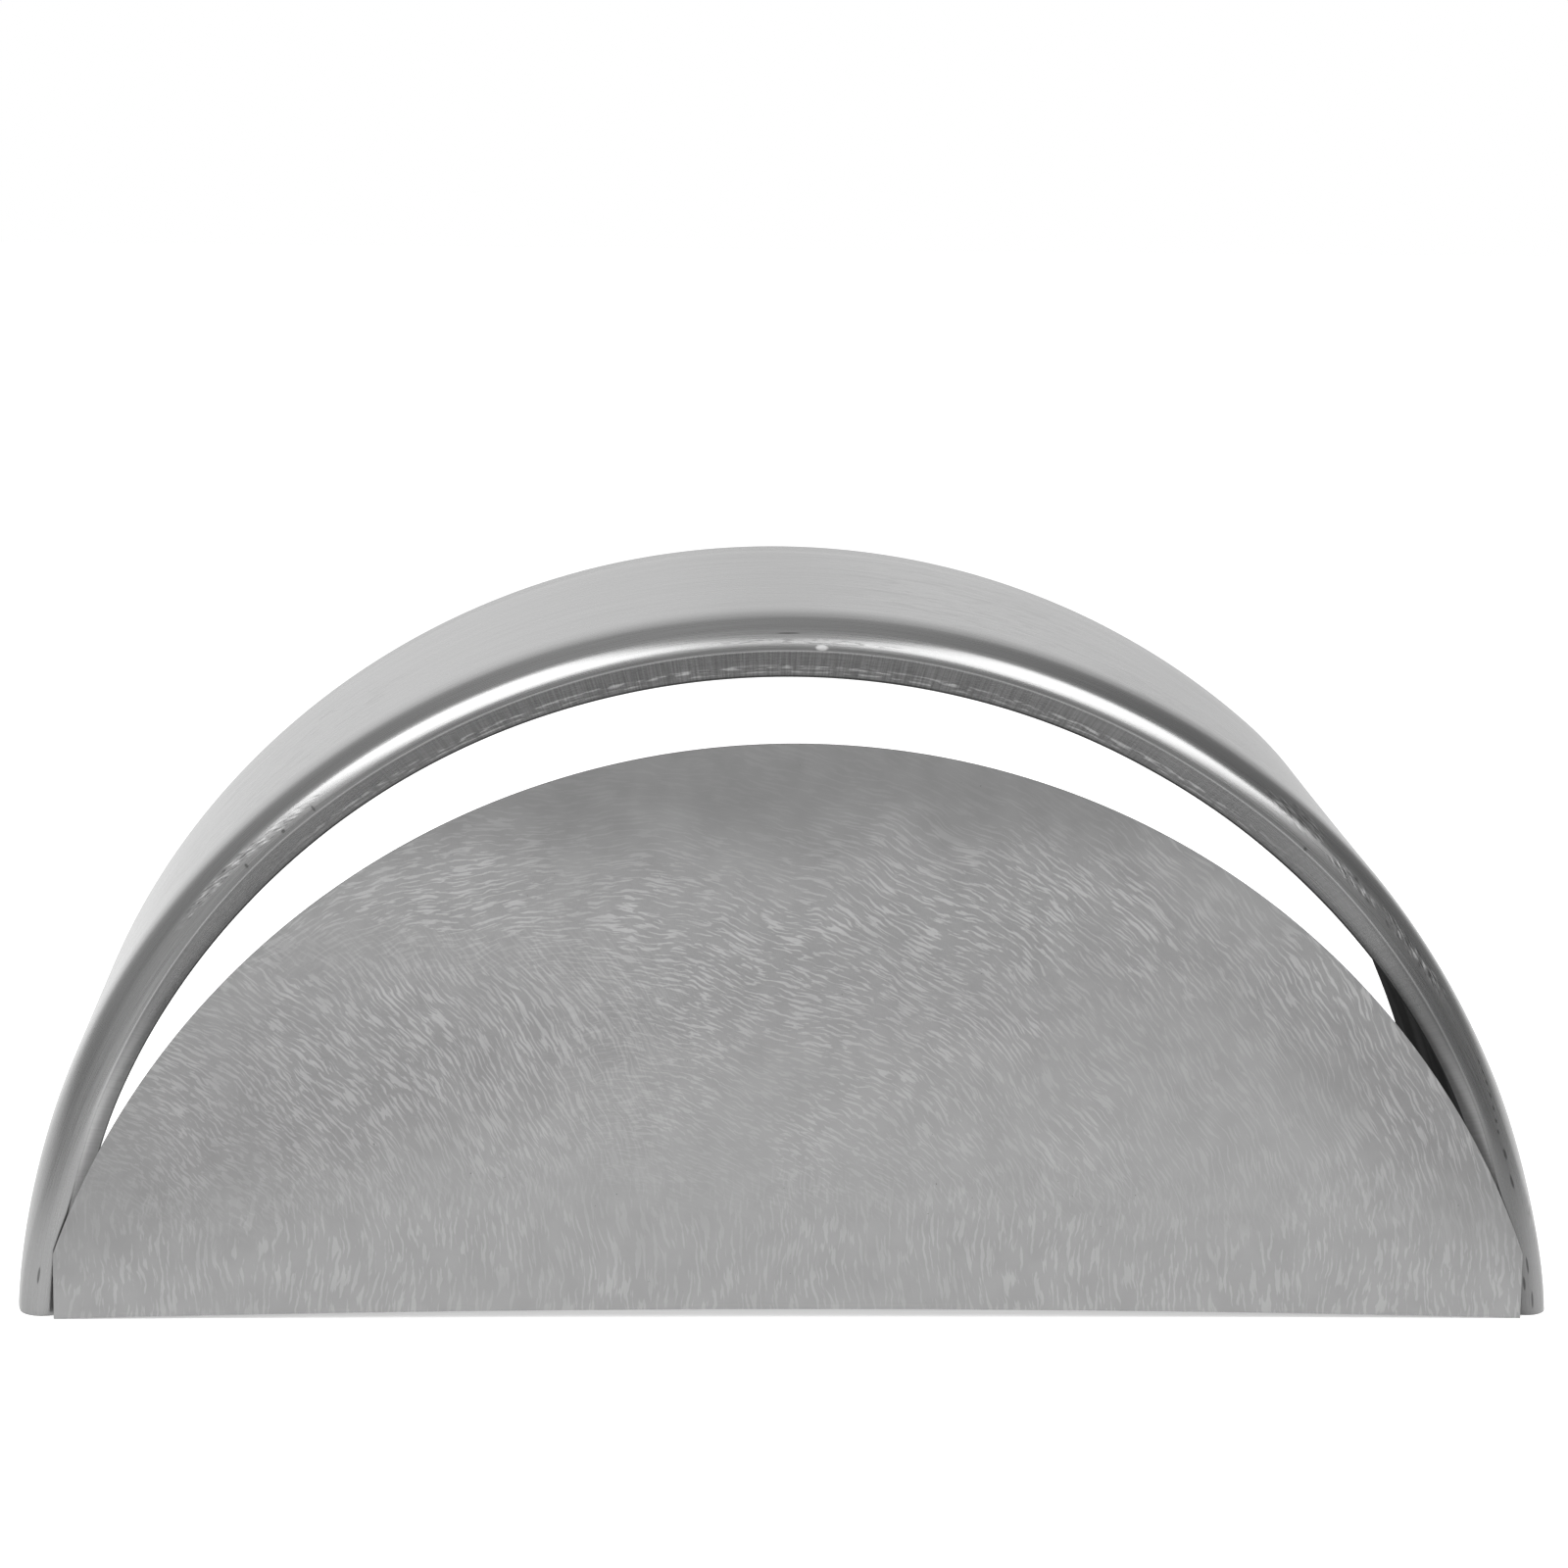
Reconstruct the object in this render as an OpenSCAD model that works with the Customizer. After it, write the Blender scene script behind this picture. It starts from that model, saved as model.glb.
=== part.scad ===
// Trailer mudguard with a loose side plate.
//
// The guard is one steel sheet, rolled to an arch that stands on its two feet. Its front edge is
// rolled over into a round nose and folded back inwards as a flat lip. The half-moon side plate is
// a second, flat sheet. It is not fixed: it stands in front of the feet, on the two ends of its
// lower edge, which bows up a little in the middle, and it leans back on the rolled edge.
//
// X runs along the arch, Y from the front (the rolled edge) to the back, and Z up. The origin is
// on the ground, in the middle of the box that holds both sheets.

/* [Sheet] */
// Thickness of the guard's steel sheet
sheet_t = 1.6; // [1:0.1:3]
// Thickness of the side plate
plate_t = 1.6; // [1:0.1:3]

/* [Arch] */
// Outer radius of the arch, on the tread
arch_r = 406; // [350:1:500]
// How far the arch's centre lies below the ground
centre_drop = 38; // [0:1:80]
// Width of the guard, from its plain rear edge to the rolled nose
guard_w = 229; // [150:1:320]

/* [Rolled edge] */
// Radius of the long, faint bend in which the tread starts to fall
run_in_r = 170; // [100:5:250]
// Slope of the sheet at the end of the faint bend
run_in_angle = 6; // [2:1:9]
// Radius of the wide bend that follows
shoulder_r = 56; // [25:1:80]
// Slope of the sheet at the end of the wide bend
shoulder_angle = 25; // [10:1:35]
// Outer radius of the round nose
nose_r = 12.5; // [5:0.5:18]
// Slope of the sheet at the end of the nose
nose_angle = 84; // [60:1:88]
// Inner radius of the tight fold between the nose and the lip
fold_in_r = 0.6; // [0.3:0.1:3]
// Angle between the folded lip and the arch's radius
lip_angle = 42; // [10:1:60]
// Width of the flat lip
lip_w = 17.5; // [8:0.1:35]

/* [Side plate] */
// Height of the side plate's lower corners above the centre of its arc
plate_cut = 103; // [70:1:120]
// How far the middle of the lower edge stands above its ends
plate_bow = 5; // [1:0.5:8]
// How far each upright end is cut in from the widest part of the arc
plate_trim = 24; // [14:1:40]
// Angle that the side plate leans back
plate_lean = 3; // [1:0.5:8]
// Distance that the side plate stands off centre, to the right
plate_shift = 4; // [-8:0.5:8]
// Gap that is left where the side plate leans on the guard
touch_gap = 0.3; // [0.1:0.1:0.9]

/* [Hidden] */
$fn = 180;
// Angle of each step in the bends of the rolled edge
ARC_STEP = 4;
// Steps in the search for the side plate's seat
SEAT_STEPS = 400;
// Sides of the very large circle that bows the side plate's lower edge
BOW_SIDES = 3600;
// How far the block that cuts the feet level reaches past the arch
TRIM = 10;

// Height of the arch from the ground to the top of the tread
arch_h = arch_r - centre_drop;

// Outer radius of the tight fold
fold_r = fold_in_r + sheet_t;
fold_angle = 90 + lip_angle;

// Width of the rolled edge, from where the tread starts to fall to the front of the nose
roll_w = run_in_r * sin(run_in_angle)
    + shoulder_r * (sin(shoulder_angle) - sin(run_in_angle))
    + nose_r * (sin(nose_angle) - sin(shoulder_angle))
    + fold_r * (1 - sin(nose_angle));

// How far inwards of the tread the front of the nose, the end of the fold and the lip's edge lie
front_depth = run_in_r * (1 - cos(run_in_angle))
    + shoulder_r * (cos(run_in_angle) - cos(shoulder_angle))
    + nose_r * (cos(shoulder_angle) - cos(nose_angle))
    + fold_r * cos(nose_angle);
fold_depth = front_depth + fold_r * sin(lip_angle);
lip_depth = fold_depth + lip_w * cos(lip_angle);
fold_back = fold_r * (1 - cos(lip_angle));

// Centres of the bends, as [radius, way forward from the nose]. Each two bends meet without a corner.
run_in_centre = [arch_r - run_in_r, -roll_w];
shoulder_centre = run_in_centre + (run_in_r - shoulder_r) * direction(run_in_angle);
nose_centre = shoulder_centre + (shoulder_r - nose_r) * direction(shoulder_angle);
fold_centre = nose_centre + (nose_r - fold_r) * direction(nose_angle);

function direction(angle) = [cos(angle), sin(angle)];

// The side plate's arc has the radius of the arch, so that it can be fitted to the guard's edge
plate_r = arch_r;
plate_end = plate_r - plate_trim;
plate_h = plate_r - plate_cut;
bow_r = (pow(plate_end, 2) + pow(plate_bow, 2)) / (2 * plate_bow);

// How far behind the nose the guard's face lies where it is `inward` of the tread. Outside the
// nose it counts as level with it, and past the lip's edge nothing is in the plate's way.
function face_back(inward) =
    inward <= front_depth ? 0
    : inward <= fold_depth ? fold_r - sqrt(pow(fold_r, 2) - pow(inward - front_depth, 2))
    : inward <= lip_depth ? fold_back + (inward - fold_depth) * tan(lip_angle)
    : guard_w;

// Half the side plate's width at the distance `up` along it
function plate_half(up) = min(plate_end, sqrt(max(0, pow(plate_r, 2) - pow(up + plate_cut, 2))));

// Depth of the guard's face below the tread's radius at the side plate's edge
function edge_inward(up, side) =
    arch_r - norm([plate_half(up) + side * plate_shift, up * cos(plate_lean) + centre_drop]);

// The side plate's lower back edge, behind the nose: as far back as the guard's face allows
plate_back = min([
    for (side = [-1, 1], i = [0 : SEAT_STEPS])
        let (up = plate_h * i / SEAT_STEPS)
        face_back(edge_inward(up, side)) - up * sin(plate_lean)
]) - touch_gap / cos(plate_lean);

// Both sheets are centred on the ground, front to back
plate_front = plate_back - plate_t * cos(plate_lean);
front_y = min(0, plate_front);
nose_y = -(guard_w - front_y) / 2 - front_y;

// Points of an arc, without its first one
function arc(centre, radius, from, to) =
    let (steps = ceil((to - from) / ARC_STEP))
    [for (i = [1 : steps]) centre + radius * direction(from + (to - from) * i / steps)];

// One face of the sheet from the rear edge over the roll to the lip's edge, `inset` below the
// outer face
function sheet_face(inset) =
    let (lip_start = fold_centre + (fold_r - inset) * direction(fold_angle))
    concat(
        [[arch_r - inset, -guard_w], [arch_r - inset, -roll_w]],
        arc(run_in_centre, run_in_r - inset, 0, run_in_angle),
        arc(shoulder_centre, shoulder_r - inset, run_in_angle, shoulder_angle),
        arc(nose_centre, nose_r - inset, shoulder_angle, nose_angle),
        arc(fold_centre, fold_r - inset, nose_angle, fold_angle),
        [lip_start + lip_w * direction(fold_angle + 90)]
    );

function reversed(points) = [for (i = [len(points) - 1 : -1 : 0]) points[i]];

// Section through the guard: tread, shoulder, nose and folded lip
module guard_section() {
    polygon(concat(sheet_face(0), reversed(sheet_face(sheet_t))));
}

// The section is turned round the arch's axis and both feet are cut level with the ground
module guard() {
    color("silver")
        intersection() {
            translate([0, nose_y, -centre_drop])
                rotate([90, 0, 0])
                    rotate_extrude()
                        guard_section();
            translate([-arch_r - TRIM, nose_y - TRIM, 0])
                cube([2 * (arch_r + TRIM), guard_w + 2 * TRIM, arch_h + TRIM]);
        }
}

// Outline of the side plate: an arc on two short upright ends, over the bowed lower edge
module plate_outline() {
    difference() {
        intersection() {
            translate([0, -plate_cut])
                circle(plate_r);
            translate([-plate_end, 0])
                square([2 * plate_end, plate_h]);
        }
        translate([0, plate_bow - bow_r])
            circle(bow_r, $fn = BOW_SIDES);
    }
}

module side_plate() {
    color("darkgray")
        translate([plate_shift, nose_y + plate_back, 0])
            rotate([90 - plate_lean, 0, 0])
                linear_extrude(plate_t)
                    plate_outline();
}

guard();
side_plate();
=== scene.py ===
import math

import bmesh
import bpy
from bpy.props import FloatProperty, FloatVectorProperty, PointerProperty
from mathutils import Matrix, Vector


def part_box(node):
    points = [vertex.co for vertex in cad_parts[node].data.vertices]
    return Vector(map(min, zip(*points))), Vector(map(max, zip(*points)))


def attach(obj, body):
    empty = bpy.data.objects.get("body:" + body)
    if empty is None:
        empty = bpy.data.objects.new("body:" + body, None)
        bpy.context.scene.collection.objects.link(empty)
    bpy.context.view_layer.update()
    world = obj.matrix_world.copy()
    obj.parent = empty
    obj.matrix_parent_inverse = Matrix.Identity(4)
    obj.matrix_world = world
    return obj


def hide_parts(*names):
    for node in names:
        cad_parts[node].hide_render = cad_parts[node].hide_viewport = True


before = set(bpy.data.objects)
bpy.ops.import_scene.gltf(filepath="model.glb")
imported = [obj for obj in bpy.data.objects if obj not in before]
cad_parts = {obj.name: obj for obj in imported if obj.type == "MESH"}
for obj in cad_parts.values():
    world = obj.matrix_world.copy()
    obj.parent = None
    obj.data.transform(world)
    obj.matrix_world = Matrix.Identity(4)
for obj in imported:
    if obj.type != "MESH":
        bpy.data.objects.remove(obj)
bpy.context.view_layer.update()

bl_info = {
    "name": "Trailer mudguard",
    "version": (1, 0, 0),
    "blender": (4, 5, 0),
    "location": "View3D > Sidebar > Mudguard",
    "description": "Builds a rolled steel trailer mudguard, its loose side plate and a studio for them",
    "category": "Add Mesh",
}

GUARD_LOW, GUARD_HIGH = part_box("guard")
PLATE_LOW, PLATE_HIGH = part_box("side_plate")

# The arch is part of a circle that is cut by the ground, so its height and length give its radius
ARCH_HEIGHT = GUARD_HIGH.z
ARCH_REACH = GUARD_HIGH.x
ARCH_RADIUS = (ARCH_HEIGHT ** 2 + ARCH_REACH ** 2) / (2 * ARCH_HEIGHT)


def linear(code):
    """Linear colour of an sRGB hex code."""
    channels = [int(code[i:i + 2], 16) / 255 for i in (1, 3, 5)]
    return [c / 12.92 if c <= 0.04045 else ((c + 0.055) / 1.055) ** 2.4 for c in channels]


def length(name, text, default):
    return FloatProperty(name=name, description=text, default=default, unit="LENGTH", precision=5)


def angle(name, text, default):
    return FloatProperty(name=name, description=text, default=math.radians(default), unit="ROTATION")


def share(name, text, default):
    return FloatProperty(name=name, description=text, default=default, min=0.0, max=1.0, subtype="FACTOR")


def colour(name, text, code):
    return FloatVectorProperty(name=name, description=text, default=linear(code), size=3,
                               min=0.0, max=1.0, subtype="COLOR")


class GuardSettings(bpy.types.PropertyGroup):
    sheet: length("Sheet thickness", "Thickness of the guard's steel sheet", 0.0016)
    radius: length("Tread radius", "Outer radius of the arch", ARCH_RADIUS)
    drop: length("Centre drop", "How far the arch's centre lies below the ground", ARCH_RADIUS - ARCH_HEIGHT)
    front: length("Nose", "Place of the rolled nose along Y", GUARD_LOW.y)
    rear: length("Rear edge", "Place of the plain rear edge along Y", GUARD_HIGH.y)
    crease: length("Crease radius", "Outer radius of the tight bend between the nose and the lip", 0.0022)
    edge: length("Edge wear", "Rounding of the cut edges", 0.0003)
    steel: colour("Rolled steel", "Colour of the clean rolled steel", "#b5b5b5")
    # Painted shade: the lip is the same steel as the tread, coloured darker where it faces down into shade
    lip_steel: colour("Lip steel", "Colour of the folded lip", "#7e7e7e")
    # Painted light: the lip near the feet is coloured paler, for the lit floor that it shows
    foot_steel: colour("Foot steel", "Colour of the lip near the feet", "#cecece")
    rubbed_steel: colour("Rubbed steel", "Colour of pale scuffs and rubbed lines", "#f0f0f0")
    # Painted shade: the inner face is coloured nearly black for the shade inside the arch
    inner_steel: colour("Inner steel", "Colour of the sheet's oiled inner face", "#424242")
    roughness: share("Roughness", "Roughness of the tread and the roll", 0.28)
    left_set: length("Left foot set", "How far the left foot is sprung inwards", 0.004)
    set_height: length("Set height", "Height up to which the left side is sprung inwards", 0.20)
    right_swell: length("Right swell", "How far the right side of the roll bulges outwards", 0.0042)
    right_twist: length("Right twist", "How far the rear of the right leg is bent inwards", 0.025)


class PlateSettings(bpy.types.PropertyGroup):
    sheet: length("Plate thickness", "Thickness of the side plate", 0.0016)
    lean: angle("Lean", "Angle that the side plate leans back", 3.0)
    cut: length("Cut height", "Height of the lower corners above the centre of the arc", 0.103)
    bow: length("Bow", "How far the middle of the lower edge stands above its ends", 0.005)
    edge: length("Edge wear", "Rounding of the cut edges", 0.0002)
    steel: colour("Plate steel", "Colour of the matt plate", "#a8a8a8")
    wiped: colour("Wipe marks", "Colour of the pale dried wipe marks", "#bdbdbd")
    rim: colour("Rim", "Colour of the sheared rim", "#3c3c3c")
    roughness: share("Roughness", "Roughness of the plate", 0.52)


class StudioSettings(bpy.types.PropertyGroup):
    paper: colour("Paper", "Colour of the floor and the backdrop", "#f6f6f6")
    room: colour("Room", "Colour of the dim walls in front, which show in the steel", "#a9a9a9")
    ground: colour("Ground", "Colour of the room's floor in front, which shows in the steel", "#dcdcdc")
    ceiling: colour("Ceiling", "Colour of the ceiling, which shows in the steel", "#b8b8b8")


# Sections of the rolled edge: the angle from the top of the arch, then the radius and turn of the long
# run-in, the radius and turn of the shoulder, the radius of the nose and how far it turns before the
# tight crease, the angle from the arch's radius to the lip, and the lip's width
ROLL_STATIONS = (
    (-84.6, 0.200, 5.0, 0.080, 15.0, 0.0125, 120.0, 56.0, 0.0110),
    (-66.0, 0.170, 7.0, 0.047, 34.0, 0.0140, 86.0, 42.0, 0.0105),
    (-40.0, 0.170, 6.0, 0.056, 25.0, 0.0125, 84.0, 42.0, 0.0160),
    (0.0, 0.170, 6.0, 0.058, 20.0, 0.0120, 84.0, 42.0, 0.0210),
    (40.0, 0.170, 6.0, 0.056, 25.0, 0.0125, 84.0, 42.0, 0.0170),
    (66.0, 0.170, 7.0, 0.047, 34.0, 0.0140, 86.0, 42.0, 0.0095),
    (84.6, 0.200, 5.0, 0.080, 15.0, 0.0125, 120.0, 56.0, 0.0110),
)
# Points along the tread, the run-in, the shoulder, the nose, the crease and the lip
TREAD_POINTS, RUN_IN_POINTS, SHOULDER_POINTS = 8, 6, 12
NOSE_POINTS, CREASE_POINTS, LIP_POINTS = 20, 6, 5
# Half the angle that the section is spun through, and the steps in it
SPIN_HALF = math.radians(88.0)
SPIN_STEPS = 264


def roll_at(turn):
    """The rolled edge's sizes at an angle from the top of the arch."""
    turn = max(ROLL_STATIONS[0][0], min(math.degrees(turn), ROLL_STATIONS[-1][0]))
    for low, high in zip(ROLL_STATIONS, ROLL_STATIONS[1:]):
        if turn <= high[0]:
            break
    part = (turn - low[0]) / (high[0] - low[0])
    part = part * part * (3 - 2 * part)
    return [a + (b - a) * part for a, b in zip(low[1:], high[1:])]


def guard_section(guard, turn):
    """Section of the bent sheet at an angle of the arch.

    Returns rows of (depth inwards from the tread, way back from the nose, heading), for the outer face
    from the rear edge to the edge of the lip.
    """
    (run_in_radius, run_in_turn, shoulder_radius, shoulder_turn,
     nose_radius, nose_end, lip_angle, lip_width) = roll_at(turn)
    bends = (
        (run_in_radius, 0.0, run_in_turn, RUN_IN_POINTS),
        (shoulder_radius, run_in_turn, shoulder_turn, SHOULDER_POINTS),
        (nose_radius, shoulder_turn, nose_end, NOSE_POINTS),
        (guard.crease, nose_end, 90.0 + lip_angle, CREASE_POINTS),
    )
    inward, forward = 0.0, 0.0
    rows = [(inward, forward, 0.0)]
    for radius, first, last, points in bends:
        start_in, start_on = inward, forward
        first, last = math.radians(first), math.radians(last)
        for i in range(1, points + 1):
            heading = first + (last - first) * i / points
            inward = start_in + radius * (math.cos(first) - math.cos(heading))
            forward = start_on + radius * (math.sin(heading) - math.sin(first))
            rows.append((inward, forward, heading))
    for i in range(1, LIP_POINTS + 1):
        step = lip_width * i / LIP_POINTS
        rows.append((inward + step * math.sin(heading), forward + step * math.cos(heading), heading))
    reach = max(row[1] for row in rows)
    rows = [(row[0], reach - row[1], row[2]) for row in rows]
    rear = guard.rear - guard.front
    run_on = rows[0][1]
    tread = [(0.0, rear + (run_on - rear) * i / TREAD_POINTS, 0.0) for i in range(TREAD_POINTS)]
    return tread + rows


def guard_loop(guard, turn):
    """The closed section: (radius, y, zone, run) for the outer face and then the inner face.

    The zone counts the parts of the section, so that a finish can tell them apart, and the run is the
    distance over the sheet from its rear edge.
    """
    counts = (TREAD_POINTS, RUN_IN_POINTS, SHOULDER_POINTS, NOSE_POINTS, CREASE_POINTS, LIP_POINTS)
    zones = [0.0]
    for part, points in enumerate(counts):
        zones += [part + i / points for i in range(1, points + 1)]
    rows = guard_section(guard, turn)
    run, outer, inner = 0.0, [], []
    last = rows[0]
    for (inward, back, heading), zone in zip(rows, zones):
        run += math.hypot(inward - last[0], back - last[1])
        last = (inward, back, heading)
        outer.append((guard.radius - inward, guard.front + back, zone, run))
        inner.append((guard.radius - inward - guard.sheet * math.cos(heading),
                      guard.front + back + guard.sheet * math.sin(heading), 10.0 + zone, run))
    return outer + inner[::-1]


def new_piece(name, bm, materials):
    """Makes an object of a finished bmesh, at the origin."""
    mesh = bpy.data.meshes.new(name)
    bm.to_mesh(mesh)
    bm.free()
    for material in materials:
        mesh.materials.append(material)
    piece = bpy.data.objects.new(name, mesh)
    bpy.context.scene.collection.objects.link(piece)
    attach(piece, "root")
    return piece


def smooth_with_edges(bm, limit):
    """Smooths all faces and keeps the edges that turn by more than the limit sharp."""
    for face in bm.faces:
        face.smooth = True
    for edge in bm.edges:
        edge.smooth = edge.calc_face_angle(0.0) < limit


# Heights between which the right leg is twisted, and the lowest and highest point of its bulge
TWIST_FULL, TWIST_NONE = 0.125, 0.27
SWELL_FOOT, SWELL_TOP = -0.04, 0.29


def right_leg_set(guard, x, y, z):
    """How far the right leg was bent out of the round: its roll outwards, and its rear edge inwards."""
    if x < 0:
        return 0.0
    rear_part = (y - guard.front) / (guard.rear - guard.front)
    twist = max(0.0, min((TWIST_NONE - z) / (TWIST_NONE - TWIST_FULL), 1.0))
    twist = twist * twist * (3 - 2 * twist)
    swell = max(0.0, min((z - SWELL_FOOT) / (SWELL_TOP - SWELL_FOOT), 1.0))
    return guard.right_swell * math.sin(math.pi * swell) * (1 - rear_part) - guard.right_twist * twist * rear_part


def guard_mesh(guard):
    """Spins the section round the arch, gives each station its own roll and cuts the feet level."""
    bm = bmesh.new()
    index_layer = bm.verts.layers.float.new("index")
    loop = guard_loop(guard, 0.0)
    corners = []
    for index, (radius, y, _, _) in enumerate(loop):
        vert = bm.verts.new((0.0, y, radius))
        vert[index_layer] = index
        corners.append(vert)
    edges = [bm.edges.new((a, b)) for a, b in zip(corners, corners[1:] + corners[:1])]
    bmesh.ops.rotate(bm, verts=corners, cent=(0, 0, 0), matrix=Matrix.Rotation(-SPIN_HALF, 3, "Y"))
    bmesh.ops.spin(bm, geom=corners + edges, cent=(0, 0, 0), axis=(0, 1, 0), angle=2 * SPIN_HALF,
                   steps=SPIN_STEPS, use_merge=False, use_duplicate=False)
    zone_layer = bm.verts.layers.float.new("zone")
    run_layer = bm.verts.layers.float.new("run")
    stations = {}
    for vert in bm.verts:
        turn = math.atan2(vert.co.x, vert.co.z)
        key = round(turn, 5)
        if key not in stations:
            stations[key] = guard_loop(guard, turn)
        radius, y, zone, run = stations[key][round(vert[index_layer])]
        x, z = radius * math.sin(turn), radius * math.cos(turn) - guard.drop
        if x < 0 and z < guard.set_height:
            x += guard.left_set * (1 - max(z, 0.0) / guard.set_height) ** 2
        x += right_leg_set(guard, x, y, z)
        vert.co = (x, y, z)
        vert[zone_layer], vert[run_layer] = zone, run
    bmesh.ops.bisect_plane(bm, geom=bm.verts[:] + bm.edges[:] + bm.faces[:], dist=1e-7,
                           plane_co=(0, 0, 0), plane_no=(0, 0, 1), clear_inner=True)
    rims = [edge for edge in bm.edges if edge.is_boundary]
    bmesh.ops.holes_fill(bm, edges=rims, sides=0)
    bmesh.ops.recalc_face_normals(bm, faces=bm.faces[:])
    cut = [edge for edge in bm.edges if edge.calc_face_angle(0.0) > math.radians(60)]
    bmesh.ops.bevel(bm, geom=cut, offset=guard.edge, offset_type="OFFSET", segments=2, profile=0.5,
                    affect="EDGES", clamp_overlap=True, material=-1)
    smooth_with_edges(bm, math.radians(35))
    uv_layer = bm.loops.layers.uv.new("run")
    run_layer, zone_layer = bm.verts.layers.float["run"], bm.verts.layers.float["zone"]
    for face in bm.faces:
        face.material_index = int(min(vert[zone_layer] for vert in face.verts) > 9.0)
        for corner in face.loops:
            co = corner.vert.co
            turn = math.atan2(co.x, co.z + guard.drop)
            corner[uv_layer].uv = (turn * guard.radius, corner.vert[run_layer])
    return bm


def plate_mesh(plate, guard):
    """Draws the half-moon, gives it the sheet's thickness and leans it back on the guard."""
    bm = bmesh.new()
    reach = (PLATE_HIGH.x - PLATE_LOW.x) / 2
    half_turn = math.asin(reach / guard.radius)
    first = bm.verts.new((0.0, 0.0, guard.radius))
    bmesh.ops.rotate(bm, verts=[first], cent=(0, 0, 0), matrix=Matrix.Rotation(-half_turn, 3, "Y"))
    bmesh.ops.spin(bm, geom=[first], cent=(0, 0, 0), axis=(0, 1, 0), angle=2 * half_turn, steps=200,
                   use_merge=False, use_duplicate=False)
    bmesh.ops.translate(bm, verts=bm.verts[:], vec=(0, 0, -plate.cut))
    arc = sorted(bm.verts, key=lambda vert: vert.co.x)
    # The lower edge is a very shallow arc between the two corners
    bow_radius = (reach ** 2 + plate.bow ** 2) / (2 * plate.bow)
    corner = bm.verts.new((-reach, 0.0, 0.0))
    made = bmesh.ops.spin(bm, geom=[corner], cent=(0, 0, plate.bow - bow_radius), axis=(0, 1, 0),
                          angle=2 * math.asin(reach / bow_radius), steps=48,
                          use_merge=False, use_duplicate=False)
    other = made["geom_last"][0]
    bm.edges.new((arc[0], corner))
    bm.edges.new((other, arc[-1]))
    made = bmesh.ops.contextual_create(bm, geom=bm.edges[:])
    front = made["faces"]
    made = bmesh.ops.extrude_face_region(bm, geom=front)
    back = [item for item in made["geom"] if isinstance(item, bmesh.types.BMVert)]
    bmesh.ops.translate(bm, verts=back, vec=(0, plate.sheet, 0))
    bmesh.ops.recalc_face_normals(bm, faces=bm.faces[:])
    rim = [edge for edge in bm.edges if edge.calc_face_angle(0.0) > math.radians(60)
           and abs(edge.verts[0].co.y - edge.verts[1].co.y) < 1e-6]
    bmesh.ops.bevel(bm, geom=rim, offset=plate.edge, offset_type="OFFSET", segments=2, profile=0.5,
                    affect="EDGES", clamp_overlap=True, material=-1)
    smooth_with_edges(bm, math.radians(35))
    middle = (PLATE_HIGH.x + PLATE_LOW.x) / 2
    bmesh.ops.translate(bm, verts=bm.verts[:], vec=(0, -plate.sheet, 0))
    bmesh.ops.rotate(bm, verts=bm.verts[:], cent=(0, 0, 0), matrix=Matrix.Rotation(-plate.lean, 3, "X"))
    foot = PLATE_LOW.y + plate.sheet * math.cos(plate.lean)
    bmesh.ops.translate(bm, verts=bm.verts[:], vec=(middle, foot, 0.0))
    return bm


def add(tree, kind, inputs=None, **settings):
    """Adds a node. Inputs map a socket's name or number to a value or to another node's socket."""
    made = tree.nodes.new(kind)
    for name, value in settings.items():
        setattr(made, name, value)
    for key, value in (inputs or {}).items():
        if isinstance(value, bpy.types.NodeSocket):
            tree.links.new(value, made.inputs[key])
        else:
            made.inputs[key].default_value = value
    return made


def fit(tree, value, low, high, to_low=0.0, to_high=1.0):
    """Maps a range of values softly onto another one, and holds what lies outside it."""
    return add(tree, "ShaderNodeMapRange", {"Value": value, "From Min": low, "From Max": high,
                                            "To Min": to_low, "To Max": to_high},
               interpolation_type="SMOOTHSTEP").outputs[0]


def calc(tree, operation, first, second=0.0):
    return add(tree, "ShaderNodeMath", {0: first, 1: second}, operation=operation).outputs[0]


def vector(tree, operation, first, second=(0.0, 0.0, 0.0)):
    return add(tree, "ShaderNodeVectorMath", {0: first, 1: second}, operation=operation).outputs[0]


def blend(tree, part, first, second):
    """Mixes two colours."""
    return add(tree, "ShaderNodeMix", {0: part, 6: first, 7: second}, data_type="RGBA").outputs[2]


def between(tree, part, first, second):
    """Mixes two numbers."""
    return add(tree, "ShaderNodeMix", {0: part, 2: first, 3: second}, data_type="FLOAT").outputs[0]


def grain(tree, place, each, detail=3.0, warp=0.0):
    """Noise with the given number of grains in each metre along the axes."""
    return add(tree, "ShaderNodeTexNoise", {"Vector": vector(tree, "MULTIPLY", place, each), "Scale": 1.0,
                                            "Detail": detail, "Distortion": warp}).outputs["Fac"]


def patch(tree, place, middle, half):
    """1 in the middle of an ellipse, and 0 outside it."""
    away = vector(tree, "DIVIDE", vector(tree, "SUBTRACT", place, middle), half)
    far = add(tree, "ShaderNodeVectorMath", {0: away}, operation="LENGTH").outputs["Value"]
    return fit(tree, far, 1.0, 0.55)


def patches(tree, place, rows):
    """The strongest of several patches, each given as its middle and its half lengths."""
    found = 0.0
    for along, across, long, wide in rows:
        found = calc(tree, "MAXIMUM", patch(tree, place, (along, across, 0.0), (long, wide, 1.0)), found)
    return found


# Scuffs on the rolled edge: the place along the arch from its top, the distance over the sheet from its
# rear edge, and half the length and width
SCUFFS = (
    (-0.335, 0.2277, 0.040, 0.0036), (-0.290, 0.2296, 0.034, 0.0030), (0.287, 0.2225, 0.026, 0.0080),
    (0.291, 0.2170, 0.016, 0.0064), (0.331, 0.2290, 0.024, 0.0040), (0.384, 0.2264, 0.038, 0.0050),
    (0.548, 0.2230, 0.020, 0.0060), (0.365, 0.2277, 0.014, 0.0040), (0.405, 0.2245, 0.012, 0.0040),
)
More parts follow.
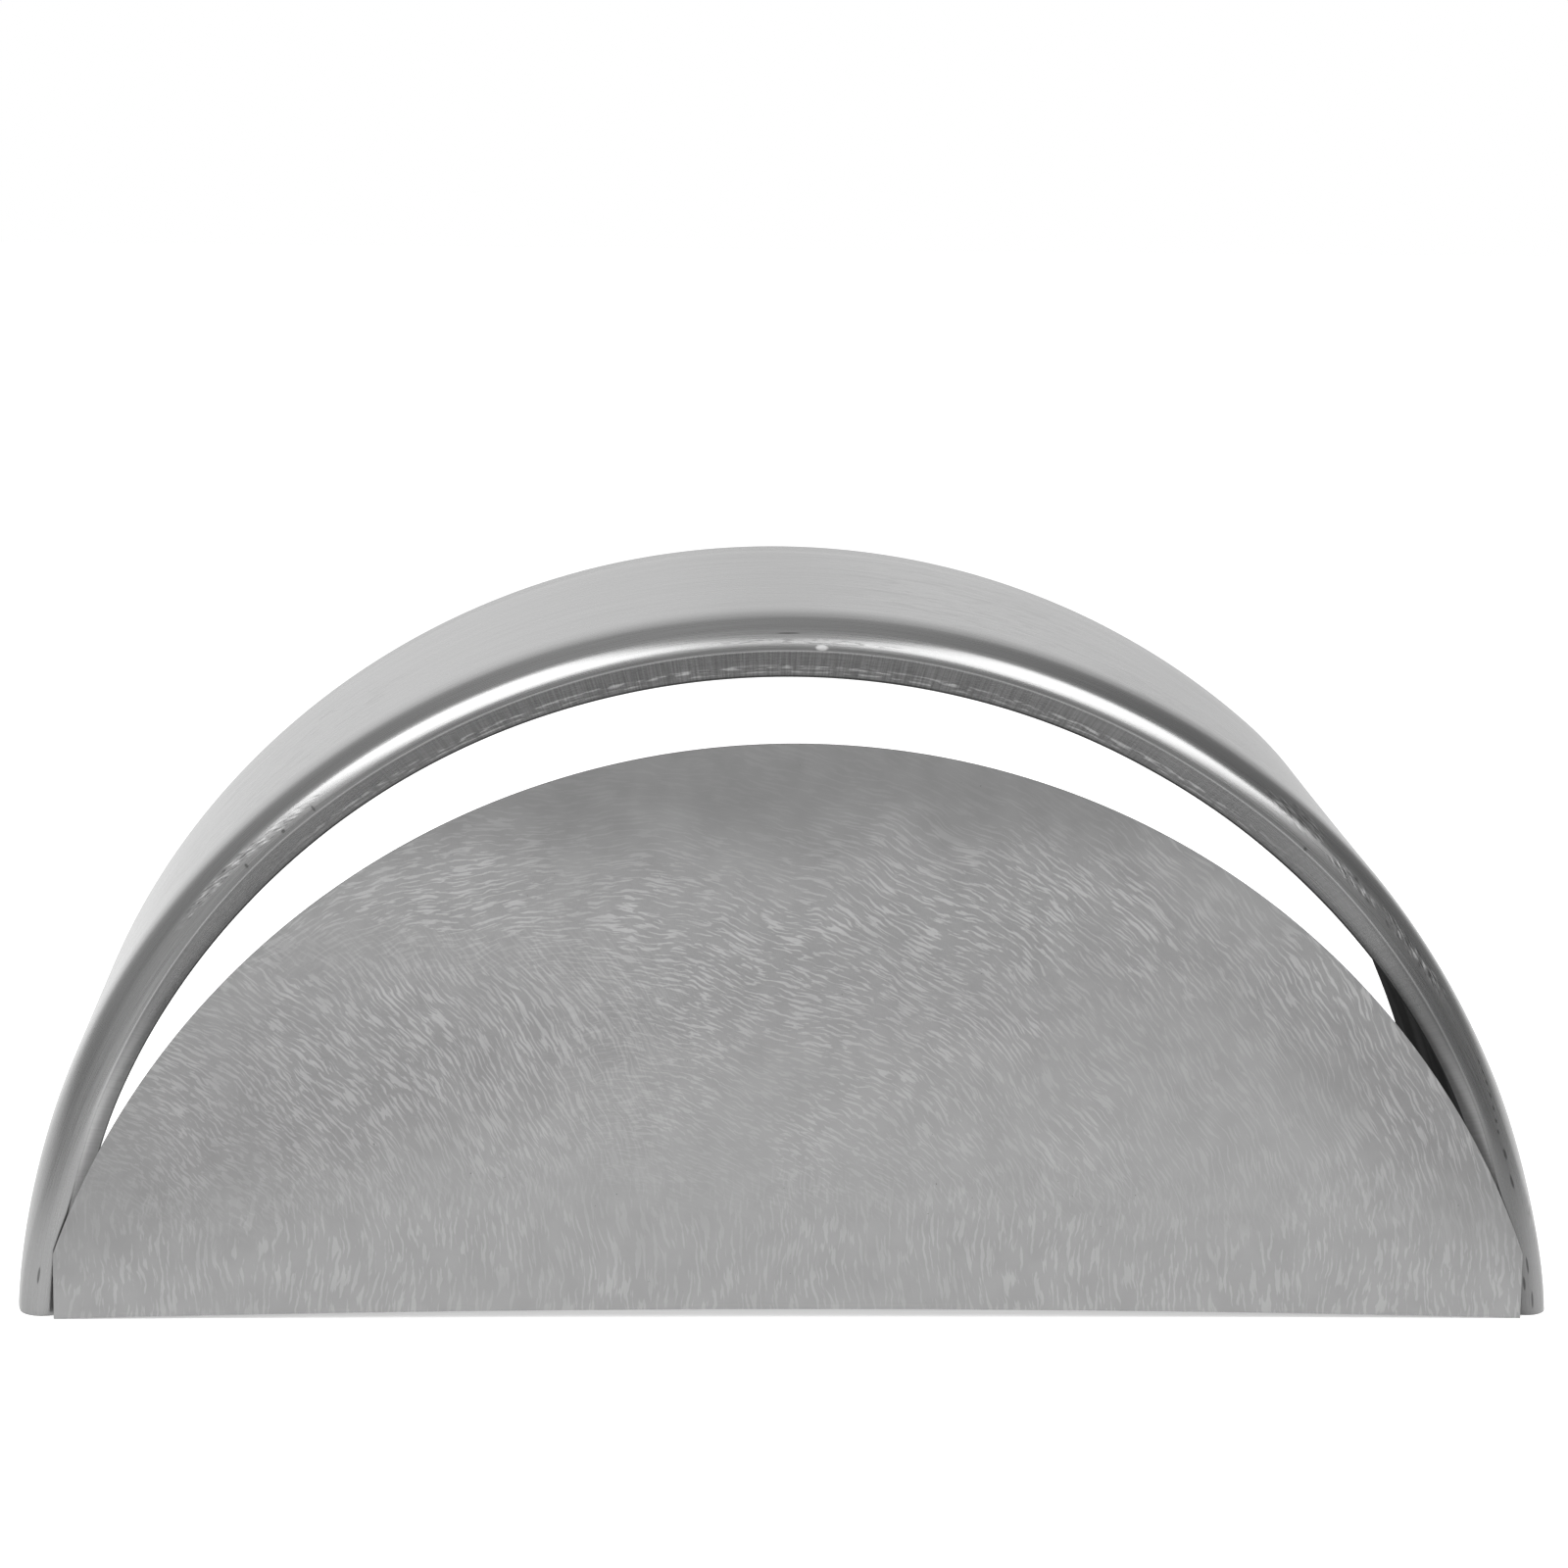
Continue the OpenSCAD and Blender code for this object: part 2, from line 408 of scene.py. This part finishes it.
# Single ticks and short scratches, in the same way
TICKS = (
    (-0.317, 0.2334, 0.0010, 0.0016), (-0.290, 0.2331, 0.0014, 0.0012), (-0.270, 0.2336, 0.0008, 0.0022),
    (0.300, 0.2352, 0.0014, 0.0012), (0.580, 0.2368, 0.0050, 0.0008), (0.590, 0.2330, 0.0060, 0.0007),
    (-0.002, 0.2264, 0.0075, 0.0005), (0.454, 0.2251, 0.0020, 0.0007), (0.460, 0.2258, 0.0018, 0.0007),
    (0.466, 0.2266, 0.0020, 0.0008), (0.473, 0.2277, 0.0022, 0.0008), (0.480, 0.2290, 0.0020, 0.0008),
    (0.487, 0.2304, 0.0018, 0.0007), (0.493, 0.2315, 0.0018, 0.0007), (0.506, 0.2317, 0.0040, 0.0010),
    (0.522, 0.2325, 0.0050, 0.0009), (0.570, 0.2340, 0.0060, 0.0007), (-0.575, 0.2330, 0.0060, 0.0008),
)


def rolled_steel(guard):
    """Cold-rolled sheet, brushed along the arch and roll-formed: satin, with the marks of the bending, and with
    painted shade and painted light on the roll, the fold and the lip.
    """
    material = bpy.data.materials.new("cold_rolled_steel_brushed")
    material.use_nodes = True
    tree = material.node_tree
    tree.nodes.clear()
    zone = add(tree, "ShaderNodeAttribute", attribute_name="zone").outputs["Fac"]
    run = add(tree, "ShaderNodeUVMap", uv_map="run").outputs["UV"]
    along = add(tree, "ShaderNodeSeparateXYZ", {0: run}).outputs["X"]
    off_top = calc(tree, "ABSOLUTE", along)
    is_lip = fit(tree, zone, 4.2, 4.8)
    is_tread = fit(tree, zone, 2.4, 1.6)
    is_foot = fit(tree, off_top, 0.40, 0.54)
    # The real brushing is about 0.1 mm wide, too fine to show, so it is drawn 0.7 mm wide
    brush = grain(tree, run, (14.0, 1400.0, 1.0))
    # Soft long streaks, 6 mm wide, where the sheet was wiped along the arch
    streak = grain(tree, run, (5.0, 160.0, 1.0), 4.0, 0.5)
    # Fine lines across the lip from the folding tool, 1 mm wide
    tool = grain(tree, run, (1000.0, 30.0, 1.0), 2.0)
    # Smudges of handling on the right half of the tread
    smudge = fit(tree, grain(tree, run, (45.0, 170.0, 1.0), 4.0, 1.2), 0.50, 0.62)
    smudge = calc(tree, "MULTIPLY", smudge, patches(tree, run, ((0.100, 0.110, 0.090, 0.110),
                                                             (0.230, 0.170, 0.080, 0.050),
                                                             (-0.300, 0.120, 0.120, 0.090))))
    shade = calc(tree, "MULTIPLY", fit(tree, brush, 0.3, 0.7, 0.95, 1.04), fit(tree, streak, 0.35, 0.65, 0.97, 1.02))
    shade = calc(tree, "MULTIPLY", shade, between(tree, smudge, 1.0, 0.84))
    # The top of the tread is a little darker
    top = calc(tree, "MULTIPLY", fit(tree, off_top, 0.075, 0.005), is_tread)
    shade = calc(tree, "MULTIPLY", shade, between(tree, top, 1.0, 0.90))
    lines = between(tree, fit(tree, off_top, 0.08, 0.30), fit(tree, tool, 0.3, 0.7, 0.78, 1.16), fit(tree, tool, 0.3, 0.7, 0.94, 1.04))
    shade = between(tree, is_lip, shade, lines)
    # Painted shade in the fold, and a dark burr line along the cut edge of the lip that is partly painted shade
    fold = fit(tree, calc(tree, "ABSOLUTE", calc(tree, "SUBTRACT", zone, 4.50)), 0.70, 0.45)
    # The line along the cut edge is partly a burr and partly painted shade for the hidden edge face
    burr = calc(tree, "MULTIPLY", fit(tree, zone, 5.87, 5.95), calc(tree, "LESS_THAN", zone, 8.0))
    fold = calc(tree, "MULTIPLY", fold, fit(tree, is_foot, 0.6, 0.0))
    shade = calc(tree, "MULTIPLY", shade, between(tree, fold, 1.0, 0.72))
    # Painted shade: the shoulder is darker down the sides, and so is the whole roll at the feet
    flank = calc(tree, "MULTIPLY", fit(tree, zone, 1.5, 2.2), fit(tree, zone, 3.3, 2.9))
    flank = calc(tree, "MULTIPLY", flank, fit(tree, off_top, 0.04, 0.24))
    shade = calc(tree, "MULTIPLY", shade, between(tree, flank, 1.0, 0.78))
    foot = calc(tree, "MULTIPLY", calc(tree, "LESS_THAN", zone, 5.0), fit(tree, off_top, 0.40, 0.53))
    shade = calc(tree, "MULTIPLY", shade, between(tree, foot, 1.0, 0.56))
    shade = calc(tree, "MULTIPLY", shade, between(tree, burr, 1.0, 0.14))
    # Painted shade: the lip is darker on the right leg
    right = calc(tree, "MULTIPLY", fit(tree, along, 0.32, 0.44), fit(tree, zone, 3.2, 3.9))
    shade = calc(tree, "MULTIPLY", shade, between(tree, right, 1.0, 0.50))
    # A pale rubbed line along the lip, broken up by the tool's lines
    line = fit(tree, calc(tree, "ABSOLUTE", calc(tree, "SUBTRACT", zone, 5.58)), 0.11, 0.03)
    second = fit(tree, calc(tree, "ABSOLUTE", calc(tree, "SUBTRACT", zone, 5.78)), 0.05, 0.02)
    line = calc(tree, "MAXIMUM", line, calc(tree, "MULTIPLY", second, 0.7))
    line = calc(tree, "MULTIPLY", line, fit(tree, grain(tree, run, (110.0, 500.0, 1.0), 4.0), 0.46, 0.60))
    line = calc(tree, "MULTIPLY", line, fit(tree, off_top, 0.34, 0.20, 0.0, 0.55))
    # Scuffs: short straight strokes, both pale and dark, 7 mm long and 1 mm wide, that cross the arch at a slant
    slant = add(tree, "ShaderNodeMapping", {"Vector": run, "Rotation": (0.0, 0.0, math.radians(-16))}).outputs[0]
    stroke = grain(tree, slant, (140.0, 1000.0, 1.0), 2.0)
    scuffed = patches(tree, run, SCUFFS)
    pale = calc(tree, "MULTIPLY", scuffed, fit(tree, stroke, 0.50, 0.76))
    dark = calc(tree, "MULTIPLY", scuffed, fit(tree, stroke, 0.46, 0.34))
    dark = calc(tree, "MAXIMUM", dark, patches(tree, run, TICKS))
    dashes = calc(tree, "MULTIPLY", patches(tree, run, ((0.010, 0.2308, 0.065, 0.0016),)),
                  fit(tree, grain(tree, run, (160.0, 1500.0, 1.0), 2.0), 0.50, 0.58))
    dark = calc(tree, "MAXIMUM", dark, calc(tree, "MULTIPLY", dashes, 0.6))
    blob = patches(tree, run, ((0.015, 0.2340, 0.0040, 0.0018),))
    pale = calc(tree, "MAXIMUM", pale, blob)
    pale = calc(tree, "MAXIMUM", pale, line)
    shade = calc(tree, "MULTIPLY", shade, between(tree, dark, 1.0, 0.45))
    # The lip's tone: painted shade along the arch and painted light near the feet, for what the folded lip reflects
    lip = blend(tree, is_foot, (*guard.lip_steel, 1), (*guard.foot_steel, 1))
    tone = blend(tree, is_lip, (*guard.steel, 1), lip)
    tone = blend(tree, calc(tree, "MULTIPLY", pale, 0.55), tone, (*guard.rubbed_steel, 1))
    tone = vector(tree, "MULTIPLY", tone, shade)
    rough = fit(tree, brush, 0.3, 0.7, guard.roughness - 0.02, guard.roughness + 0.03)
    rough = between(tree, calc(tree, "MULTIPLY", is_lip, is_foot), rough, 0.55)
    rough = between(tree, pale, rough, 0.55)
    height = calc(tree, "ADD", brush, calc(tree, "MULTIPLY", calc(tree, "MULTIPLY", scuffed, stroke), 4.0))
    bump = add(tree, "ShaderNodeBump", {"Height": height, "Strength": 0.08, "Distance": 0.0002}).outputs[0]
    # Scratched steel scatters a part of the light like a matt surface
    matt = calc(tree, "MAXIMUM", calc(tree, "MULTIPLY", pale, 0.28),
                calc(tree, "MULTIPLY", calc(tree, "MULTIPLY", is_lip, is_foot), 0.28))
    shader = add(tree, "ShaderNodeBsdfPrincipled", {"Base Color": tone, "Roughness": rough, "Normal": bump,
                                                   "Metallic": calc(tree, "SUBTRACT", 1.0, matt)})
    add(tree, "ShaderNodeOutputMaterial", {"Surface": shader.outputs[0]})
    return material


def inner_face(guard):
    """The sheet's inner face, oiled and not brushed, with painted shade: it is coloured nearly black for the shade
    inside the arch.
    """
    material = bpy.data.materials.new("cold_rolled_steel_inner_shade")
    material.use_nodes = True
    tree = material.node_tree
    tree.nodes.clear()
    run = add(tree, "ShaderNodeUVMap", uv_map="run").outputs["UV"]
    # Oil lies in soft bands along the arch, 20 mm wide
    film = fit(tree, grain(tree, run, (6.0, 50.0, 1.0), 4.0, 0.6), 0.35, 0.65, 0.75, 1.30)
    tone = vector(tree, "MULTIPLY", (*guard.inner_steel,), film)
    rough = fit(tree, grain(tree, run, (40.0, 160.0, 1.0), 3.0), 0.3, 0.7, 0.55, 0.68)
    shader = add(tree, "ShaderNodeBsdfPrincipled", {"Base Color": tone, "Roughness": rough, "Specular IOR Level": 0.0})
    add(tree, "ShaderNodeOutputMaterial", {"Surface": shader.outputs[0]})
    return material


def wipe_strokes(tree, place, centre, each):
    """Strokes that run in rings round a centre, with grains in each metre across and along them."""
    away = add(tree, "ShaderNodeSeparateXYZ", {0: vector(tree, "SUBTRACT", place, (centre[0], 0.0, centre[1]))})
    flat = add(tree, "ShaderNodeCombineXYZ", {0: away.outputs["X"], 1: away.outputs["Z"]}).outputs[0]
    ring = add(tree, "ShaderNodeVectorMath", {0: flat}, operation="LENGTH").outputs["Value"]
    # The way along a ring counts at a radius of 0.3 m
    turn = calc(tree, "MULTIPLY", calc(tree, "ARCTAN2", away.outputs["X"], away.outputs["Z"]), 0.3)
    spread = add(tree, "ShaderNodeCombineXYZ", {0: ring, 1: turn}).outputs[0]
    return grain(tree, spread, (each[0], each[1], 1.0), 3.0, 0.5)


def plate_steel(plate):
    """Hot-rolled plate, pickled, rinsed and wiped by hand: matt, with pale feathery marks where it dried."""
    material = bpy.data.materials.new("pickled_steel_wiped")
    material.use_nodes = True
    tree = material.node_tree
    tree.nodes.clear()
    place = add(tree, "ShaderNodeTexCoord").outputs["Object"]
    parts = add(tree, "ShaderNodeSeparateXYZ", {0: place}).outputs
    # The strokes sway by up to 6 mm over the plate and by 1 mm along their length
    sway = add(tree, "ShaderNodeTexNoise", {"Vector": place, "Scale": 13.0, "Detail": 1.0}).outputs["Color"]
    shake = add(tree, "ShaderNodeTexNoise", {"Vector": place, "Scale": 110.0, "Detail": 1.0}).outputs["Color"]
    swayed = vector(tree, "ADD", place, vector(tree, "MULTIPLY", vector(tree, "SUBTRACT", sway, (0.5, 0.5, 0.5)),
                                               (0.026, 0.0, 0.026)))
    swayed = vector(tree, "ADD", swayed, vector(tree, "MULTIPLY", vector(tree, "SUBTRACT", shake, (0.5, 0.5, 0.5)),
                                                (0.0028, 0.0, 0.0028)))
    # Long arm strokes over the middle and the right, short ones at the left, upright ones at the bottom
    arm = fit(tree, wipe_strokes(tree, swayed, (-0.100, -0.081), (760.0, 84.0)), 0.52, 0.59)
    short = fit(tree, wipe_strokes(tree, swayed, (-0.420, -0.050), (760.0, 84.0)), 0.50, 0.58)
    upright = fit(tree, grain(tree, swayed, (500.0, 1.0, 75.0)), 0.52, 0.60)
    left = calc(tree, "MULTIPLY", fit(tree, parts["X"], -0.03, -0.14), fit(tree, parts["Z"], 0.22, 0.17))
    low = fit(tree, calc(tree, "ADD", parts["Z"], calc(tree, "MULTIPLY", grain(tree, place, (9.0, 1.0, 9.0)), 0.06)),
              0.125, 0.070)
    marks = between(tree, low, between(tree, left, arm, short), upright)
    # The marks come in patches, and there are few at the top
    where = fit(tree, grain(tree, place, (11.0, 1.0, 11.0), 3.0, 0.8), 0.36, 0.58, 0.45, 1.0)
    cloud = calc(tree, "ADD", parts["Z"], calc(tree, "MULTIPLY", grain(tree, place, (14.0, 1.0, 14.0), 4.0), 0.07))
    upper = fit(tree, cloud, 0.252, 0.322)
    marks = calc(tree, "MULTIPLY", calc(tree, "MULTIPLY", marks, where), between(tree, upper, 1.0, 0.25))
    fleck = fit(tree, grain(tree, place, (520.0, 1.0, 520.0), 1.0), 0.79, 0.83)
    tone = blend(tree, marks, (*plate.steel, 1), (*plate.wiped, 1))
    # Painted shade: the top of the plate is coloured darker
    shade = calc(tree, "MULTIPLY", between(tree, upper, 1.0, 0.70),
                 fit(tree, grain(tree, place, (60.0, 1.0, 60.0), 5.0), 0.3, 0.7, 0.96, 1.03))
    shade = calc(tree, "MULTIPLY", shade, between(tree, fleck, 1.0, 0.55))
    # Painted shade: the steel is a little darker towards the bottom
    shade = calc(tree, "MULTIPLY", shade, fit(tree, parts["Z"], 0.03, 0.21, 0.76, 1.02))
    # The sheared rim is darker than the faces
    facing = add(tree, "ShaderNodeSeparateXYZ", {0: add(tree, "ShaderNodeNewGeometry").outputs["Normal"]})
    rim = fit(tree, calc(tree, "ABSOLUTE", facing.outputs["Y"]), 0.85, 0.45)
    tone = blend(tree, rim, vector(tree, "MULTIPLY", tone, shade), (*plate.rim, 1))
    rough = between(tree, marks, plate.roughness, plate.roughness + 0.10)
    shader = add(tree, "ShaderNodeBsdfPrincipled", {"Base Color": tone, "Roughness": rough,
                                                   "Metallic": fit(tree, rim, 0.0, 1.0, 1.0, 0.1)})
    add(tree, "ShaderNodeOutputMaterial", {"Surface": shader.outputs[0]})
    return material


class MUDGUARD_OT_guard(bpy.types.Operator):
    """Build the rolled guard with its folded front edge"""
    bl_idname = "mudguard.guard"
    bl_label = "Rolled guard"

    def execute(self, context):
        guard = context.scene.mudguard_guard
        piece = new_piece("rolled_guard", guard_mesh(guard), (rolled_steel(guard), inner_face(guard)))
        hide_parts("guard")
        return {"FINISHED"}


class MUDGUARD_OT_side_plate(bpy.types.Operator):
    """Build the loose half-moon side plate"""
    bl_idname = "mudguard.side_plate"
    bl_label = "Side plate"

    def execute(self, context):
        plate, guard = context.scene.mudguard_plate, context.scene.mudguard_guard
        piece = new_piece("half_moon_plate", plate_mesh(plate, guard), (plate_steel(plate),))
        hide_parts("side_plate")
        return {"FINISHED"}


def studio_world(studio):
    """White behind the object, plain for diffuse light, and a dim room in front that the steel shows."""
    world = bpy.data.worlds.new("studio")
    bpy.context.scene.world = world
    world.use_nodes = True
    tree = world.node_tree
    tree.nodes.clear()
    ray = add(tree, "ShaderNodeLightPath").outputs
    way = add(tree, "ShaderNodeTexCoord").outputs["Generated"]
    part = add(tree, "ShaderNodeSeparateXYZ", {0: way}).outputs
    # The backdrop stands behind the object, a little to the left, and ends about 20 degrees up
    low = add(tree, "ShaderNodeMapRange", {"Value": part["Z"], "From Min": 0.46, "From Max": 0.26},
              interpolation_type="SMOOTHSTEP").outputs[0]
    toward = add(tree, "ShaderNodeVectorMath", {0: way, 1: (-0.087, 0.996, 0.0)},
                 operation="DOT_PRODUCT").outputs["Value"]
    back = add(tree, "ShaderNodeMapRange", {"Value": toward, "From Min": 0.84, "From Max": 0.96},
               interpolation_type="SMOOTHSTEP").outputs[0]
    behind = add(tree, "ShaderNodeMath", {0: low, 1: back}, operation="MULTIPLY").outputs[0]
    # The ceiling is paler than the walls of the room
    top = add(tree, "ShaderNodeMapRange", {"Value": part["Z"], "From Min": 0.35, "From Max": 0.90},
              interpolation_type="SMOOTHSTEP").outputs[0]
    dim = add(tree, "ShaderNodeMix", {0: top, 6: (*studio.room, 1), 7: (*studio.ceiling, 1)},
              data_type="RGBA").outputs[2]
    # The floor of the room is paler than its walls, and the room is darker to the right
    low_part = add(tree, "ShaderNodeMapRange", {"Value": part["Z"], "From Min": 0.02, "From Max": -0.16}).outputs[0]
    dim = add(tree, "ShaderNodeMix", {0: low_part, 6: dim, 7: (*studio.ground, 1)}, data_type="RGBA").outputs[2]
    side = add(tree, "ShaderNodeMapRange", {"Value": part["X"], "From Min": -0.6, "From Max": 0.8,
                                           "To Min": 1.1, "To Max": 0.55}).outputs[0]
    dim = add(tree, "ShaderNodeVectorMath", {0: dim, 1: side}, operation="MULTIPLY").outputs[0]
    room = add(tree, "ShaderNodeMix", {0: behind, 6: dim, 7: (1, 1, 1, 1)}, data_type="RGBA")
    mirror = add(tree, "ShaderNodeBackground", {"Color": room.outputs[2], "Strength": 1.0})
    plain = add(tree, "ShaderNodeBackground", {"Color": (1, 1, 1, 1), "Strength": 0.72})
    white = add(tree, "ShaderNodeBackground", {"Color": (1, 1, 1, 1), "Strength": 1.0})
    lit = add(tree, "ShaderNodeMixShader", {0: ray["Is Glossy Ray"], 1: plain.outputs[0],
                                           2: mirror.outputs[0]})
    seen = add(tree, "ShaderNodeMath", {0: ray["Is Camera Ray"], 1: ray["Is Transmission Ray"]},
               operation="MAXIMUM")
    out = add(tree, "ShaderNodeMixShader", {0: seen.outputs[0], 1: lit.outputs[0], 2: white.outputs[0]})
    add(tree, "ShaderNodeOutputWorld", {"Surface": out.outputs[0]})


def studio_floor(studio):
    """A sheet of white paper that keeps the object's soft shadow."""
    material = bpy.data.materials.new("backdrop_paper")
    material.use_nodes = True
    tree = material.node_tree
    tree.nodes.clear()
    ray = add(tree, "ShaderNodeLightPath").outputs
    # Camera, glossy and transmission rays get the same lifted white
    seen = calc(tree, "MAXIMUM", ray["Is Camera Ray"], ray["Is Transmission Ray"])
    seen = calc(tree, "MAXIMUM", seen, ray["Is Glossy Ray"])
    lift = add(tree, "ShaderNodeMath", {0: seen, 1: 0.4}, operation="MULTIPLY")
    paper = add(tree, "ShaderNodeBsdfDiffuse", {"Color": (*studio.paper, 1)})
    glow = add(tree, "ShaderNodeEmission", {"Color": (1, 1, 1, 1), "Strength": lift.outputs[0]})
    out = add(tree, "ShaderNodeAddShader", {0: paper.outputs[0], 1: glow.outputs[0]})
    add(tree, "ShaderNodeOutputMaterial", {"Surface": out.outputs[0]})
    bm = bmesh.new()
    bmesh.ops.create_grid(bm, x_segments=1, y_segments=1, size=3.0)
    # The paper ends a little way in front of the object, just outside the camera's view
    bmesh.ops.translate(bm, verts=bm.verts[:], vec=(0, 2.45, 0))
    mesh = bpy.data.meshes.new("floor_paper")
    bm.to_mesh(mesh)
    bm.free()
    mesh.materials.append(material)
    floor = bpy.data.objects.new("floor_paper", mesh)
    bpy.context.scene.collection.objects.link(floor)


def softbox(name, place, aim, wide, high, power):
    """An area lamp that looks at a point."""
    lamp = bpy.data.lights.new(name, "AREA")
    lamp.shape, lamp.size, lamp.size_y, lamp.energy = "RECTANGLE", wide, high, power
    item = bpy.data.objects.new(name, lamp)
    bpy.context.scene.collection.objects.link(item)
    item.location = place
    item.rotation_euler = (Vector(aim) - Vector(place)).to_track_quat("-Z", "Y").to_euler()


# The camera's place from the nose, its turn, tilt and roll, and its focal length in pixels of the photo
CAMERA_PLACE = (-0.09392, -2.16838, 0.77046)
CAMERA_TURN, CAMERA_TILT, CAMERA_ROLL = 0.0416, 0.2204, 0.0134
CAMERA_FOCUS, PHOTO_WIDTH, SENSOR = 4473.64, 1600.0, 36.0


def studio_camera(guard):
    """The camera at the photograph's view."""
    data = bpy.data.cameras.new("camera")
    data.sensor_width = SENSOR
    data.lens = SENSOR * CAMERA_FOCUS / PHOTO_WIDTH
    data.clip_start = 0.05
    ahead = Vector((math.sin(CAMERA_TURN) * math.cos(CAMERA_TILT),
                    math.cos(CAMERA_TURN) * math.cos(CAMERA_TILT), -math.sin(CAMERA_TILT)))
    right = Vector((math.cos(CAMERA_TURN), -math.sin(CAMERA_TURN), 0.0))
    up = right.cross(ahead)
    across = math.cos(CAMERA_ROLL) * right + math.sin(CAMERA_ROLL) * up
    upward = -math.sin(CAMERA_ROLL) * right + math.cos(CAMERA_ROLL) * up
    camera = bpy.data.objects.new("camera", data)
    bpy.context.scene.collection.objects.link(camera)
    place = Vector(CAMERA_PLACE) + Vector((0.0, guard.front, 0.0))
    turn = Matrix((across, upward, -ahead)).transposed().to_4x4()
    camera.matrix_world = Matrix.Translation(place) @ turn
    bpy.context.scene.camera = camera


class MUDGUARD_OT_studio(bpy.types.Operator):
    """Set up the floor, the world, the lamps and the camera"""
    bl_idname = "mudguard.studio"
    bl_label = "Studio"

    def execute(self, context):
        studio, guard = context.scene.mudguard_studio, context.scene.mudguard_guard
        context.scene.view_settings.view_transform = "Standard"
        studio_world(studio)
        studio_floor(studio)
        # Two long softboxes beside the object, from in front of it to beside it
        softbox("softbox_left", (-1.00, -1.45, 1.86), (0.07, -1.21, 0.43), 2.9, 1.35, 29.0)
        softbox("softbox_right", (0.98, -1.55, 1.74), (-0.07, -1.32, 0.43), 2.9, 1.35, 28.0)
        studio_camera(guard)
        return {"FINISHED"}


class MUDGUARD_PT_panel(bpy.types.Panel):
    """Lists the pieces and their sizes"""
    bl_idname = "MUDGUARD_PT_panel"
    bl_label = "Trailer mudguard"
    bl_space_type = "VIEW_3D"
    bl_region_type = "UI"
    bl_category = "Mudguard"

    def draw(self, context):
        for kind, operator in (("guard", MUDGUARD_OT_guard), ("plate", MUDGUARD_OT_side_plate),
                               ("studio", MUDGUARD_OT_studio)):
            box = self.layout.box()
            group = getattr(context.scene, "mudguard_" + kind)
            for name in group.__annotations__:
                box.prop(group, name)
            box.operator(operator.bl_idname)


CLASSES = (GuardSettings, PlateSettings, StudioSettings, MUDGUARD_OT_guard, MUDGUARD_OT_side_plate,
           MUDGUARD_OT_studio, MUDGUARD_PT_panel)


def register():
    for item in CLASSES:
        bpy.utils.register_class(item)
    bpy.types.Scene.mudguard_guard = PointerProperty(type=GuardSettings)
    bpy.types.Scene.mudguard_plate = PointerProperty(type=PlateSettings)
    bpy.types.Scene.mudguard_studio = PointerProperty(type=StudioSettings)


def unregister():
    del bpy.types.Scene.mudguard_studio
    del bpy.types.Scene.mudguard_plate
    del bpy.types.Scene.mudguard_guard
    for item in reversed(CLASSES):
        bpy.utils.unregister_class(item)


def main():
    register()
    bpy.ops.mudguard.guard()
    bpy.ops.mudguard.side_plate()
    bpy.ops.mudguard.studio()


if __name__ == "__main__":
    main()
